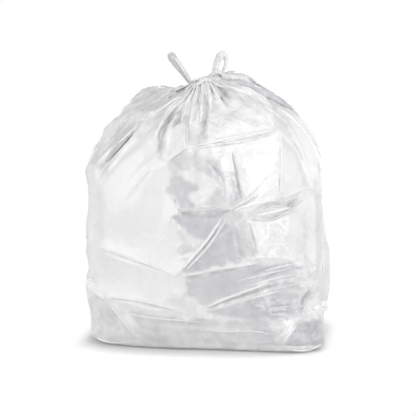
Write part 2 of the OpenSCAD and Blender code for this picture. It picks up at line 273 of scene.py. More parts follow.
# Pleats from the neck: how many on a half turn, height in millimetres, reach in metres, and a seed. Then how
# far they bend and how often, how much the neck is flattened, the least share of the reach that a pleat has
# with the range above it, and how round its crest is and how deep its foot. The step mixes the seeds
PLEATS = [(17, 5, 0.16, 1.3), (31, 3, 0.10, 4.1), (52, 1.6, 0.07, 7.7)]
PLEAT_BEND, PLEAT_BEND_SCALE = 2.2, 9
NECK_FLATTENING = 0.7
PLEAT_REACH_LEAST, PLEAT_REACH_RANGE = 0.45, 1.1
PLEAT_CREST, PLEAT_FOOT = 0.8, 0.6
SEED_STEP = 12.9898

# Folds seen in the photograph: height in millimetres (below 0 for a valley), half width and places in pixels
FOLDS = [
    (-8, 2.6, [(150, 112), (140, 122), (121, 141), (108, 157), (94, 175)]),
    (4, 1.6, [(148, 117), (136, 131), (118, 150), (102, 169)]),
    (-4, 2.6, [(133, 117), (120, 129), (107, 144)]),
    (-3, 2.2, [(137, 106), (124, 112), (110, 121)]),
    (3, 2.2, [(146, 114), (128, 128), (112, 146)]),
    (-7, 2.8, [(179, 101), (170, 113), (162, 132), (158, 153)]),
    (4, 1.5, [(176, 112), (168, 131), (162, 154)]),
    (3, 2.2, [(181, 97), (164, 115), (155, 134)]),
    (-3, 1.6, [(188, 99), (181, 108), (172, 127)]),
    (-5, 1.8, [(202, 88), (204, 100), (202, 115), (200, 131)]),
    (-3, 1.6, [(198, 96), (199, 105), (195, 119)]),
    (3, 1.8, [(199, 84), (201, 96), (199, 112)]),
    (-2, 1.2, [(181, 119), (184, 132), (187, 145)]),
    (2, 1.2, [(188, 104), (189, 120), (188, 140)]),
    (-6, 1.9, [(214, 85), (222, 92), (231, 102)]),
    (3, 2.0, [(213, 85), (240, 90), (260, 102), (270, 113), (277, 129)]),
    (-7, 3.4, [(222, 81), (240, 84), (262, 92), (280, 101), (294, 110)]),
    (-2, 1.3, [(264, 100), (272, 112), (277, 128)]),
    (-3, 1.3, [(188, 147), (230, 140), (278, 131)]),
    (2.4, 1.3, [(190, 145), (230, 138), (279, 129.5)]),
    (-2, 1.2, [(196, 143), (232, 135.5), (278, 128)]),
    (-3, 1.6, [(187, 148), (176, 154), (166, 162)]),
    (-3, 1.4, [(232, 152), (236, 172), (240, 197)]),
    (-3, 1.3, [(176, 213), (204, 212), (232, 211)]),
    (2, 1.3, [(178, 210), (205, 209), (232, 208.5)]),
    (3, 1.3, [(222, 217), (205, 243), (182, 270)]),
    (3, 1.3, [(226, 219), (208, 247), (186, 270)]),
    (-2, 1.2, [(224, 218), (206.5, 245), (184, 270)]),
    (3, 1.3, [(182, 276), (220, 269), (256, 264)]),
    (-2, 1.3, [(184, 279), (220, 272), (256, 267)]),
    (3, 1.3, [(206, 306), (235, 295), (266, 284)]),
    (3, 1.3, [(205, 311), (240, 301), (290, 288)]),
    (-2, 1.3, [(206, 308.5), (238, 298), (280, 286)]),
    (-2, 1.3, [(248, 277), (272, 270), (302, 262)]),
    (-2, 1.3, [(258, 283), (282, 273), (310, 267)]),
    (2, 1.3, [(93, 247), (128, 257), (178, 277)]),
    (-2, 1.3, [(95, 250), (128, 260), (176, 279)]),
    (2, 1.3, [(104, 258), (140, 269), (178, 278)]),
    (2, 1.3, [(103, 297), (140, 300), (186, 312)]),
    (-2, 1.3, [(105, 299), (140, 303), (184, 315)]),
    (2, 1.4, [(110, 301), (150, 311), (186, 313)]),
    (-4, 2.0, [(232, 212), (246, 203), (262, 192)]),
    (-2, 1.8, [(242, 200), (258, 186), (279, 172)]),
    (-3, 2.0, [(250, 217), (272, 206), (290, 207), (303, 200)]),
    (2, 1.5, [(232, 210), (258, 203), (290, 197), (314, 185)]),
    (-3, 1.6, [(248, 219), (276, 218), (303, 202)]),
    (-3, 1.4, [(250, 222), (254, 240), (257, 257)]),
    (1.5, 1.2, [(274, 233), (266, 243), (257, 254)]),
    (-1.5, 1.3, [(156, 150), (140, 164), (124, 180)]),
    (1.2, 1.2, [(160, 151), (144, 166), (127, 183)]),
    (-1.5, 1.3, [(150, 170), (134, 188), (120, 205)]),
    (1.5, 1.2, [(236, 186), (238, 176), (243, 160)]),
    (-2, 1.2, [(206, 160), (214, 170), (226, 184)]),
    (2, 1.2, [(224, 172), (228, 186), (226, 204)]),
    (-2, 1.2, [(232, 172), (233, 186), (236, 200)]),
    (-1.5, 1.2, [(182, 215), (204, 217), (222, 216)]),
    (-2, 1.3, [(180, 254), (192, 250), (202, 247)]),
    (2, 1.3, [(176, 259), (190, 255), (200, 252)]),
    (2.5, 1.3, [(250, 222), (270, 222), (292, 219)]),
    (2, 1.3, [(240, 262), (262, 258), (290, 258), (306, 268)]),
    (1.2, 1.4, [(280, 131), (295, 150), (305, 165), (312, 184)]),
    (-4, 1.8, [(309, 288), (305, 299), (302, 312)]),
    (2, 1.4, [(210, 246), (226, 234), (246, 218)]),
    (2, 1.3, [(232, 232), (234, 246), (237, 259)]),
    (2, 1.3, [(264, 297), (268, 304), (270, 316)]),
    (-2, 1.3, [(266, 309), (284, 307), (302, 306)]),
    (-2, 1.3, [(268, 315), (292, 312), (318, 308)]),
    (3, 1.6, [(110, 306), (122, 320), (134, 335)]),
    (3, 1.6, [(122, 311), (130, 322), (140, 333)]),
    (3, 1.5, [(298, 324), (290, 333), (279, 346)]),
    (3, 1.5, [(292, 322), (284, 331), (274, 342)]),
    (2, 1.4, [(140, 325), (180, 329), (230, 332), (275, 330)]),
    (-2, 1.4, [(238, 333), (258, 331), (276, 337)]),
]

# The knot and the ears: name, places in the photograph's pixels with millimetres towards the camera, half
# widths, half thicknesses, turns, and then pleats, how deep they are, how pale the film is and a seed
STRANDS = [
    ("ear_left", [(193, 88, 6), (189, 81, 5), (183.5, 73, 5), (177, 64, 6), (172, 57, 6), (170, 53, 5)],
     [4, 6, 9, 11.5, 12, 10], [4, 4, 4, 5, 5, 3.5], [10, 15, 15, 10, 5, 0], 2, 0.10, -0.1, 3.1),
    ("ear_left_fold", [(191, 84, 8), (187.5, 77.5, 9), (184, 71, 10), (179.5, 64, 10), (175.5, 58.5, 9)],
     [2.5, 3.5, 4, 4, 2.5], [2, 2.5, 3, 3, 2], [-30, -40, -40, -30, -20], 2, 0.15, 1.0, 5.2),
    ("ear_right", [(214, 80, 12), (214.6, 72, 12), (216.8, 63, 12), (219.8, 56.6, 10), (224, 55, 6),
     (226, 59.5, 2), (225.6, 65, 2), (223.4, 71, 4), (221, 78, 8)], [8, 8, 9, 11, 11, 7, 4.5, 4.5, 5],
     [3, 2.5, 2.5, 3.5, 3.5, 2.5, 2.5, 2.5, 3], [0, 0, 10, 25, 20, 10, 0, 0, 0], 2, 0.2, 0.5, 8.4),
    ("knot_core", [(200, 88, 12), (206, 84, 16), (213, 80.5, 17), (221, 79, 12), (228, 80, 2)],
     [10, 12, 15, 15, 12], [12, 15, 16, 15, 10], [0, 10, 20, 30, 40], 11, 0.28, 0.7, 14.2),
    ("knot_turn", [(213, 83.5, 20), (209.8, 79.5, 24), (212.5, 75, 27), (218.5, 73, 28),
     (223.2, 75.5, 28), (222.5, 79.6, 28), (218, 80.4, 29), (216.2, 77.6, 30)],
     [5, 6.5, 7, 7, 6.5, 6, 5, 3.5], [5, 5, 5, 5, 5, 5, 4, 3], [0, 10, 20, 30, 30, 20, 10, 0], 5, 0.3,
     0.6, 11.9),
    ("knot_lump", [(199, 84, 24), (203, 82, 26), (207, 81.5, 26), (211, 82.5, 22)], [5, 7, 7, 4],
     [5, 6, 6, 4], [0, 20, 40, 60], 5, 0.3, 0.4, 19.4),
    ("knot_strip", [(217, 78.4, 14), (224, 78, 6), (231, 78, -2), (239, 78.6, -10), (245.5, 79.4, -14),
     (250.5, 82, -16)], [9, 10, 10.5, 10, 8, 3], [6, 6, 6, 6, 5, 2], [0, 5, 10, 10, 5, 0], 4, 0.22, 0.8,
     17.3),
    ("neck_roll", [(186.5, 90, 12), (191.5, 86.4, 22), (197.5, 83.4, 28), (204, 83, 28),
     (210.5, 83.5, 22)], [6, 8, 9.5, 9, 6], [8, 9, 10, 9, 6], [0, 10, 20, 30, 40], 9, 0.35, 0.8, 21.6),
]

# Rolls of film on the face of the sack: places in pixels with millimetres off the film, half widths in
# millimetres and how pale each is, which paints highlights along raised rolls and shade in valleys. First the
# gathers that run from the knot; the first is the lump under it
GATHERS = [
    ([(196, 85.5, 6), (201, 82, 9), (206.5, 80.3, 10), (212, 81.5, 8)], [4, 7, 7.5, 5], 0.55),
    ([(195, 86, 4), (191, 96, 2), (186, 108, 1), (182, 122, -4)], [2, 6, 7, 4], 0.85),
    ([(198, 83, 5), (196, 95, 3), (193, 110, 1), (190, 127, -4)], [3, 7, 8, 5], 0.8),
    ([(202, 82, 5), (202.5, 95, 3), (201.5, 110, 1), (201, 124, -4)], [3, 4, 5, 3], 1.0),
    ([(206, 81, 6), (208.5, 89, 4), (210, 98, 2), (211, 112, -4)], [3, 6, 7, 4], 1.0),
    ([(209, 81, 6), (213, 89, 4), (217, 96, 2), (221, 106, -4)], [3, 5, 6, 3], 1.0),
    ([(211, 82, 6), (222, 86.5, 4), (240, 91, 1), (262, 100, -4)], [3, 5, 6, 3], 0.9),
    ([(193, 87, 3), (184, 98, 2), (170, 112, 1), (158, 128, -4)], [2, 5, 6, 3], 0.6),
]

# The folds that stand off the two sides
SIDE_FOLDS = [
    ([(105, 299, -3), (98, 291, 1), (92, 285, 2), (87, 280, 0)], [4, 12, 14, 9], 1.0),
    ([(312, 310, -4), (317, 308.5, -1), (322, 306.5, -1), (327.5, 305, -3)], [5, 12, 14, 10], 0.75),
]

# Sharp raised creases, painted pale as highlights along their ridges
CREASES = [
    ([(191, 146.5, -2), (210, 143, 0), (236, 137, 0), (262, 132.5, 0), (280, 130, -2)], [2, 3, 3, 3, 2],
     1.0),
    ([(196, 142, -2), (216, 138.5, 0), (240, 134, 0), (264, 129.5, 0), (279, 127, -2)],
     [1.5, 2.5, 2.5, 2.5, 1.5], 1.0),
    ([(222, 217, -2), (214, 230, 0), (205, 243, 0), (193, 257, 0), (182, 270, -2)], [2, 3.5, 3.5, 3, 2],
     1.0),
    ([(227, 219, -2), (217, 234, 0), (207, 248, 0), (196, 260, 0), (185, 271, -2)],
     [1.5, 2.5, 2.5, 2.5, 1.5], 1.0),
    ([(182, 276, -2), (200, 273, 0), (220, 269, 0), (240, 266, 0), (258, 263, -2)], [2, 3, 3, 3, 2], 0.8),
    ([(205, 308, -2), (220, 301, 0), (235, 295, 0), (252, 289, 0), (266, 284, -2)], [2, 3.5, 3.5, 3, 2],
     0.9),
    ([(206, 312, -2), (225, 306, 0), (245, 300, 0), (268, 294, 0), (290, 288, -2)], [1.5, 3, 3, 3, 1.5],
     0.7),
    ([(93, 247, -2), (112, 251.5, 0), (135, 260, 0), (158, 268, 0), (178, 277, -2)],
     [1.5, 2.5, 2.5, 2.5, 1.5], 1.0),
    ([(103, 297, -2), (122, 298.5, 0), (145, 302, 0), (166, 307, 0), (186, 312, -2)],
     [1.5, 2.5, 2.5, 2.5, 1.5], 0.9),
    ([(176, 209, -2), (190, 208.5, 0), (205, 208, 0), (220, 208, 0), (233, 207, -2)],
     [1.5, 2.5, 2.5, 2.5, 1.5], 0.5),
    ([(236, 213, -2), (250, 206, 0), (262, 199, 0), (271, 190, 0), (279, 184, -2)], [1.5, 3, 3, 2.5, 1.5],
     0.9),
    ([(111, 306, -2), (119, 316, 0), (127, 326, 0), (134, 335, -2)], [1.5, 3, 3, 1.5], 0.8),
    ([(298, 324, -2), (292, 331, 0), (286, 338, 0), (279, 346, -2)], [1.5, 3, 3, 1.5], 0.8),
    ([(292, 322, -2), (286, 329, 0), (280, 336, 0), (274, 342, -2)], [1.5, 2.5, 2.5, 1.5], 0.8),
    ([(280, 132, -2), (280.8, 150, 0), (280.8, 175, 0), (280, 199, -2)], [1.2, 2, 2, 1.2], 0.9),
    ([(93, 332, -2), (99, 338.5, 0), (110, 342, 0), (128, 342.5, -2)], [2, 3.5, 3.5, 2], 1.0),
    ([(284, 348.5, -2), (298, 350.5, 0), (310, 349.5, 0), (321, 344, -2)], [2, 3, 3, 2], 0.9),
    ([(236, 281, -2), (250, 278, 0), (270, 273, 0), (292, 268, -2)], [1.5, 2.5, 2.5, 1.5], 0.7),
    ([(246, 287, -2), (262, 282, 0), (280, 277.5, 0), (300, 273, -2)], [1.5, 2.5, 2.5, 1.5], 0.7),
    ([(262, 271, -2), (278, 267, 0), (292, 264, 0), (303, 262, -2)], [1.5, 2, 2, 1.5], 0.8),
    ([(262, 293, -2), (276, 289, 0), (290, 285.5, 0), (303, 283, -2)], [1.5, 2, 2, 1.5], 0.6),
    ([(118, 311, -2), (146, 317, 0), (174, 320, 0), (204, 322, -2)], [1.5, 2.5, 2.5, 1.5], 0.7),
    ([(196, 329, -2), (224, 332, 0), (250, 331, 0), (277, 335, -2)], [1.5, 3, 3, 1.5], 0.5),
    ([(266, 309, -2), (284, 307, 0), (302, 306, 0), (312, 306, -2)], [1.5, 2, 2, 1.5], 0.6),
    ([(266, 297, -2), (269, 304, 0), (271, 315, -2)], [1.5, 2, 1.5], 0.6),
    ([(233, 210.5, -2), (246, 206, 0), (258, 202.5, 0), (278, 200, -2)], [1.5, 4, 4, 1.5], 1.0),
    ([(250, 216, -2), (266, 213.5, 0), (280, 210, 0), (293, 207.5, -2)], [1.5, 4, 4, 1.5], 1.0),
    ([(181, 96, -2), (173, 100.5, 0), (157, 112, 0), (143, 122, 0), (130, 135, -2)],
     [1.5, 3, 3, 2.5, 1.5], 1.0),
    ([(147, 121, -2), (130, 140, 0), (113, 159, 0), (99, 174, -2)], [1.5, 2.5, 2.5, 1.5], 1.0),
]

# Valleys between folds, painted dark as shade
VALLEYS = [
    ([(232, 151, -2), (234.5, 165, 0), (237.5, 182, 0), (241, 199, -2)], [1.5, 2.2, 2.2, 1.5], -0.2),
    ([(147, 115, -3), (137, 126, -1), (123, 141, -1), (108, 158, -1), (94, 175, -3)], [2, 6, 8, 6, 2],
     -0.02),
    ([(131, 117, -3), (122, 128, -1), (107, 144, -3)], [2, 5, 2], 0.05),
    ([(178, 102, -3), (169, 116, -1), (162, 133, -1), (158, 153, -3)], [2, 7, 8, 3], -0.05),
    ([(224, 81.5, -3), (240, 85, -1), (262, 93, -1), (280, 101.5, -1), (294, 110.5, -3)],
     [3, 10, 11, 8, 2], -0.1),
    ([(250, 217, -2), (262, 211, 0), (274, 206, 0), (289, 208, -2)], [1.5, 4, 4, 1.5], 0.3),
    ([(250, 219.5, -2), (268, 221, 0), (286, 213, 0), (303, 200, -2)], [1.5, 3.5, 4, 1.5], 0.22),
    ([(309, 288, -2), (305, 298, 0), (302, 311, -2)], [1.5, 4.5, 1.5], -0.1),
]

# The kinds of rolls on the face: name, rows, half thickness in millimetres, pleats, their depth, and columns
ROLLS = [
    ("gather", GATHERS, 5.5, 2, 0.2, 40),
    ("side_fold", SIDE_FOLDS, 5.5, 7, 0.3, 80),
    ("crease", CREASES, 2.6, 2, 0.1, 20),
    ("valley", VALLEYS, 2.6, 2, 0.1, 20),
]
ROLL_RINGS, ROLL_SEED_STEP = 80, 3.7

# How far behind its first place a roll may drop where the face turns away, in millimetres
FACE_DROP = 45.0

# Strands: rings and columns, how crumpled they are, how blunt their ends are and the least size there; how
# far the pleats wander, and how fast round and along; how round a pleat's crest is, how deep its foot and how
# much painted highlight lightens its crest and painted shade darkens its foot; and the scale and share of the
# fine wrinkles
STRAND_RINGS, STRAND_COLUMNS = 150, 96
STRAND_CRUMPLE = 0.5
STRAND_BLUNT, STRAND_TIP = 12, 0.02
STRAND_WANDER, WANDER_ROUND, WANDER_ALONG = 3.0, 0.9, 2.2
FLUTE_CREST, FLUTE_FOOT, FLUTE_PAINTED_LIGHT = 0.7, 0.6, 0.4
WRINKLE_SCALE, WRINKLE_SHARE = 60, 0.3


def camera_axes(azimuth, elevation):
    """Directions towards the camera, to its right and up, for a view from an azimuth and an elevation."""
    a, e = math.radians(azimuth), math.radians(elevation)
    back = np.array((math.sin(a) * math.cos(e), -math.cos(a) * math.cos(e), math.sin(e)))
    right = np.array((math.cos(a), math.sin(a), 0.0))
    return back, right, np.cross(back, right)


TO_CAMERA, TO_RIGHT, TO_TOP = camera_axes(CAMERA_AZIMUTH, CAMERA_ELEVATION)


def photo_pixels(points):
    """Where points of the frame fall in the photograph, in its pixels."""
    away = points - np.array(AIM)
    scale = FOCAL_PIXELS / (CAMERA_DISTANCE - away @ TO_CAMERA)
    return np.stack((PHOTO_SIDE / 2 + away @ TO_RIGHT * scale, PHOTO_SIDE / 2 - away @ TO_TOP * scale), -1)


def smoothstep(x):
    t = np.clip(x, 0, 1)
    return t * t * (3 - 2 * t)


def coordinates(mesh):
    co = np.zeros(len(mesh.vertices) * 3)
    mesh.vertices.foreach_get("co", co)
    return co.reshape(-1, 3)


def set_coordinates(mesh, co):
    mesh.vertices.foreach_set("co", co.ravel())
    mesh.update()


def apply_modifiers(piece):
    bpy.context.view_layer.objects.active = piece
    for name in [m.name for m in piece.modifiers]:
        bpy.ops.object.modifier_apply(modifier=name)


def smoothed_solid():
    """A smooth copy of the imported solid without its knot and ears, for the film to be laid on."""
    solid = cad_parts["liner"].copy()
    solid.data = solid.data.copy()
    solid.parent = None
    bpy.context.collection.objects.link(solid)
    solid.select_set(True)
    bpy.context.view_layer.objects.active = solid
    bpy.ops.object.mode_set(mode="EDIT")
    bpy.ops.mesh.select_all(action="SELECT")
    bpy.ops.mesh.remove_doubles(threshold=CORNER_WELD)
    bpy.ops.mesh.select_mode(type="VERT")
    bpy.ops.mesh.select_all(action="DESELECT")
    bpy.ops.object.mode_set(mode="OBJECT")
    co = coordinates(solid.data)
    from_neck = np.hypot(co[:, 0] - NECK_CENTRE.x, co[:, 1] - NECK_CENTRE.y)
    tied = (co[:, 2] > NECK_CENTRE.z - TIE_DROP) & (from_neck < TIE_REACH) & (co[:, 1] < TIE_BACK)
    tied |= (co[:, 2] > NECK_CENTRE.z - STEM_DROP) & (from_neck < STEM_REACH)
    for v in solid.data.vertices:
        v.select = bool(tied[v.index])
    bpy.ops.object.mode_set(mode="EDIT")
    bpy.ops.mesh.delete(type="VERT")
    bpy.ops.mesh.select_all(action="SELECT")
    bpy.ops.mesh.tris_convert_to_quads(face_threshold=JOIN_TURN, shape_threshold=JOIN_SKEW)
    bpy.ops.object.mode_set(mode="OBJECT")
    subdivision = solid.modifiers.new("smooth", "SUBSURF")
    subdivision.levels = subdivision.render_levels = 2
    apply_modifiers(solid)
    bpy.context.view_layer.update()
    return solid


def film_rings():
    """Points of the film, ring by ring from the foot's centre to the neck: rings by columns by 3."""
    solid = smoothed_solid()
    tree = BVHTree.FromObject(solid, bpy.context.evaluated_depsgraph_get())
    bpy.data.objects.remove(solid)
    turn = np.arange(COLUMNS) * 2 * math.pi / COLUMNS
    azimuths = turn - FRONT_CROWDING * np.sin(turn - FRONT_AZIMUTH)

    def cast(azimuth, polar):
        level = math.cos(polar)
        way = Vector((math.cos(azimuth) * level, math.sin(azimuth) * level, math.sin(polar)))
        return tree.ray_cast(GRID_CENTRE, way)[0]

    # Elevations that give rings about evenly spaced along the film, and few of them under the foot
    tried = np.radians(np.linspace(LOWEST_RAY, HIGHEST_RAY, TRIED_RAYS))
    steps = np.zeros(len(tried))
    for azimuth in np.radians(TRIED_AZIMUTHS):
        hits = [cast(azimuth, polar) for polar in tried]
        for k in range(1, len(tried)):
            if hits[k] is not None and hits[k - 1] is not None:
                share = FLOOR_SHARE if hits[k].z < FLOOR_LEVEL else 1.0
                steps[k] += (hits[k] - hits[k - 1]).length * share
    run = np.cumsum(steps)
    polars = np.interp(np.linspace(0, run[-1], RINGS - len(COLLAR)), run, tried)

    rings = np.full((RINGS, COLUMNS, 3), np.nan)
    for j, polar in enumerate(polars):
        for i, azimuth in enumerate(azimuths):
            hit = cast(azimuth, polar)
            if hit is not None:
                rings[j, i] = hit
    return rings


def close_neck(rings):
    """Fills what the knot hid, pulls the last rings in to the neck and lifts the collar into the knot."""
    centre = np.array(NECK_CENTRE)
    half = np.array(NECK_HALF)
    cast_rings = RINGS - len(COLLAR)
    order = np.arange(cast_rings)
    for i in range(COLUMNS):
        column = rings[:cast_rings, i]
        reach = np.hypot(*((column[:, :2] - centre[:2]) / half).T)
        bad = np.isnan(column[:, 0])
        bad |= (order > cast_rings * NECK_FROM) & (np.nan_to_num(reach, nan=0) < NECK_CLEAR)
        first = np.argmax(bad) if bad.any() else cast_rings
        last = column[first - 1]
        away = last[:2] - centre[:2]
        goal = away / np.hypot(*(away / half))
        missing = cast_rings - first
        for k in range(missing):
            share = (k + 1) / missing
            flat = away * (1 - share) + goal * share
            rise = last[2] + (centre[2] - last[2]) * share ** NECK_RISE
            column[first + k] = (centre[0] + flat[0], centre[1] + flat[1], rise)
    for k, (share, lift) in enumerate(COLLAR):
        top = rings[cast_rings - 1]
        rings[cast_rings + k] = centre + (top - centre) * (share, share, 1)
        rings[cast_rings + k, :, 2] = top[:, 2] + lift
    return rings


def pleated(rings):
    """Heights of the fine pleats that run from the neck, each with its own length."""
    from_neck = np.linalg.norm(rings - np.array(NECK_CENTRE), axis=-1)
    turn = np.arctan2(rings[..., 1] - NECK_CENTRE.y, (rings[..., 0] - NECK_CENTRE.x) * NECK_FLATTENING)
    relief = np.zeros(rings.shape[:2])
    for count, height, reach, seed in PLEATS:
        start = Vector((seed, 0, 0))
        bend = np.array([noise.noise(Vector(p) * PLEAT_BEND_SCALE + start) for p in rings.reshape(-1, 3)])
        phase = turn * count + bend.reshape(turn.shape) * PLEAT_BEND + seed
        own = np.sin(np.floor(phase / math.pi) * SEED_STEP + seed) * 0.5 + 0.5
        fade = np.exp(-(from_neck / (reach * (PLEAT_REACH_LEAST + PLEAT_REACH_RANGE * own))) ** 2)
        relief += height * MM * fade * (np.abs(np.sin(phase)) ** PLEAT_CREST - PLEAT_FOOT)
    return relief


def unit(v):
    return v / np.maximum(np.linalg.norm(v, axis=-1, keepdims=True), 1e-12)


def grid_normals(rings):
    """Outward normals of the grid, from its differences round and up the sack."""
    across = np.roll(rings, -1, 1) - np.roll(rings, 1, 1)
    up = np.gradient(rings, axis=0)
    return unit(np.cross(across, up))


def soften(values, passes):
    """A running mean over neighbours on the grid, round and up the sack."""
    for _ in range(passes):
        values = (np.roll(values, -1, 1) + np.roll(values, 1, 1) + 2 * values) / 4
        padded = np.concatenate((values[:1], values, values[-1:]))
        values = (padded[:-2] + padded[2:] + 2 * values) / 4
    return values


def inside(places, corners):
    """Which places lie in a polygon."""
    x, y = places[..., 0], places[..., 1]
    result = np.zeros(x.shape, bool)
    for (x0, y0), (x1, y1) in zip(corners, corners[1:] + corners[:1]):
        if y0 != y1:
            result ^= ((y0 > y) != (y1 > y)) & (x < (x1 - x0) * (y - y0) / (y1 - y0) + x0)
    return result


def along_line(places, line):
    """Distance of places from a line through points, and the share of its length at the nearest one."""
    line = np.array(line, float)
    steps = np.diff(line, axis=0)
    lengths = np.hypot(*steps.T)
    best = np.full(places.shape[:-1], 1e9)
    share = np.zeros(places.shape[:-1])
    passed = 0.0
    for start, step, length in zip(line, steps, lengths):
        away = places - start
        t = np.clip(away @ step / length ** 2, 0, 1)
        d = np.hypot(away[..., 0] - t * step[0], away[..., 1] - t * step[1])
        near = d < best
        best[near] = d[near]
        share[near] = ((passed + t * length) / lengths.sum())[near]
        passed += length
    return best, share


def turned_film(rings, out, target, reach):
    """Moves along the normals that turn the film towards the target normals, by conjugate gradients."""
    def wanted(step, out_mean, target_mean):
        facing_both = np.maximum((out_mean * target_mean).sum(-1), LEAST_FACING)
        return -(step * target_mean).sum(-1) / facing_both

    right = np.roll(rings, -1, 1) - rings
    up = rings[1:] - rings[:-1]
    long_right = np.maximum(np.linalg.norm(right, axis=-1), 1e-5)
    long_up = np.maximum(np.linalg.norm(up, axis=-1), 1e-5)
    want_right = wanted(right, unit(out + np.roll(out, -1, 1)), unit(target + np.roll(target, -1, 1)))
    want_up = wanted(up, unit(out[1:] + out[:-1]), unit(target[1:] + target[:-1]))
    up_mean = np.concatenate((long_up[:1], long_up))
    weight_right = np.clip(up_mean / long_right, *TURN_WEIGHTS)
    weight_up = np.clip(long_right[1:] / long_up, *TURN_WEIGHTS)
    hold = long_right * up_mean / reach ** 2

    def spread(along_right, along_up):
        total = np.roll(along_right, 1, 1) - along_right
        total[:-1] -= along_up
        total[1:] += along_up
        return total

    def apply(h):
        return spread(weight_right * (np.roll(h, -1, 1) - h), weight_up * (h[1:] - h[:-1])) + hold * h

    h = np.zeros(rings.shape[:2])
    rest = spread(weight_right * want_right, weight_up * want_up)
    way = rest.copy()
    size = (rest * rest).sum()
    for _ in range(SOLVER_ROUNDS):
        pushed = apply(way)
        step = size / (way * pushed).sum()
        h += step * way
        rest -= step * pushed
        new_size = (rest * rest).sum()
        way = rest + new_size / size * way
        size = new_size
    return h


def cell_tilts(rings, out, count, tilt, stretch, ragged, rng):
    """Turns and tones of random cells over the film, each tilted its own way; stretch makes them long."""
    flat = rings.reshape(-1, 3)
    area = (np.linalg.norm(np.roll(rings, -1, 1) - rings, axis=-1)
            * np.linalg.norm(np.gradient(rings, axis=0), axis=-1)).ravel()
    spacing = math.sqrt(area.sum() / count)
    shift = np.array([noise.noise_vector(Vector(p) / spacing * CELL_WANDER) for p in flat]) * ragged * spacing
    measured = (flat + shift) / np.array(stretch)
    chosen = rng.choice(len(flat), count, replace=False, p=area / area.sum())
    tree = KDTree(count)
    for k, c in enumerate(chosen):
        tree.insert(measured[c], k)
    tree.balance()
    cell = np.array([tree.find(p)[1] for p in measured])
    turns = rng.normal(size=(count, 3)) * math.tan(math.radians(tilt))
    turn = turns[cell].reshape(rings.shape)
    tone = rng.uniform(-1, 1, count)[cell].reshape(rings.shape[:2])
    return turn - (turn * out).sum(-1, keepdims=True) * out, tone


def photo_relief(places, seen):
    """Heights of the folds seen in the photograph, where the film faces its camera, and the painted shade in
    their valleys and painted highlight on their ridges.
    """
    relief = np.zeros(seen.shape)
    painted_fold_light = np.zeros(seen.shape)
    for height, half, line in FOLDS:
        d, share = along_line(places, line)
        taper = np.sqrt(np.clip(4 * share * (1 - share), 0, 1)) * (1 - FOLD_END_HEIGHT) + FOLD_END_HEIGHT
        across = d / (half * (FOLD_END_WIDTH + (1 - FOLD_END_WIDTH) * taper))
        near = taper * np.exp(-across ** 2) * seen
        relief += height * MM * near
        # Valleys are painted darker as shade and ridges paler as highlights
        painted_fold_light += np.clip(height * FOLD_PAINTED_LIGHT, -FOLD_PAINTED_LIGHT_LIMIT, FOLD_PAINTED_LIGHT_LIMIT) * near
    return relief, np.clip(painted_fold_light, -FOLD_PAINTED_LIGHT_LIMIT, FOLD_PAINTED_LIGHT_LIMIT)


def dented(rings):
    """The film pushed in or out where the photograph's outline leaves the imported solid."""
    out = grid_normals(rings)
    places = photo_pixels(rings)
    near = smoothstep((out @ TO_CAMERA - DENT_FACING_FROM) / DENT_FACING_RANGE)
    push = np.zeros(rings.shape[:2])
    for x, y, across, down, height in DENTS:
        away = np.hypot((places[..., 0] - x) / across, (places[..., 1] - y) / down)
        push += height * MM * np.exp(-away ** 2 * DENT_FALL) * near
    moves = out * push[..., None]
    moves[..., 2] *= smoothstep(rings[..., 2] / DENT_FLOOR_FADE)
    return rings + moves


def creased(rings):
    """The film's rings with their facets and folds, how pale the film is there with the painted light and
    shade of its facets and folds, and how crumpled it is.
    """
    rng = np.random.default_rng(DRAWS_START)
    sharp = len(COLLAR) + SHARP_NECK_RINGS
    smooth = dented(np.concatenate((soften(rings[:-sharp], SOFT_PLACES), rings[-sharp:])))
    out = grid_normals(smooth)
    places = photo_pixels(smooth)
    wander = np.array([noise.noise_vector(Vector(p) / EDGE_LENGTH) for p in smooth.reshape(-1, 3)])
    ragged_places = places + wander[:, :2].reshape(places.shape) * EDGE_WANDER
    seen = smoothstep((out @ TO_CAMERA - SEEN_FROM) / SEEN_RANGE)
    seen = seen * smoothstep((rings[..., 2] - FACETS_FROM) / FACETS_RANGE)
    calm = 1 - seen
    target = out.copy()
    pale_with_painted_light = np.full(seen.shape, PALE_ROUND)
    crumple = np.full(seen.shape, CRUMPLE_ROUND)
    for count, tilt, stretch, ragged, in_photo, toned in CELLS:
        share = calm + (1 - calm) * in_photo
        turn, tone = cell_tilts(smooth, out, count, tilt, stretch, ragged, rng)
        target += turn * share[..., None]
        pale_with_painted_light += tone * toned * share * (1 - CALM_ROUND * calm)
    target = unit(target)
    mottled = pale_with_painted_light - PALE_ROUND
    # Each facet's tone paints in the light and shade seen on it, over the random tones
    for (azimuth, elevation, tone, crumpled), corners in FACETS:
        held = inside(ragged_places, corners) * seen
        pale_with_painted_light += (tone + mottled * crumpled - pale_with_painted_light) * held
        crumple += (crumpled - crumple) * held
        aim = unit(camera_axes(azimuth, elevation)[0] + (target - out) * crumpled)
        target = unit(target * (1 - held[..., None]) + aim * held[..., None])
    relief = OUTWARD_LIMIT * np.tanh(turned_film(smooth, out, target, TURN_REACH) / OUTWARD_LIMIT)
    folds, painted_fold_light = photo_relief(places, seen)
    relief = np.clip(relief + (folds * FOLD_SCALE + pleated(smooth)), -INWARD_LIMIT, OUTWARD_LIMIT)
    relief *= smoothstep((rings[..., 2] - RELIEF_FROM) / RELIEF_RANGE)
    return smooth + out * relief[..., None], soften(pale_with_painted_light + painted_fold_light, SOFT_TONES), soften(crumple, SOFT_CRUMPLE)


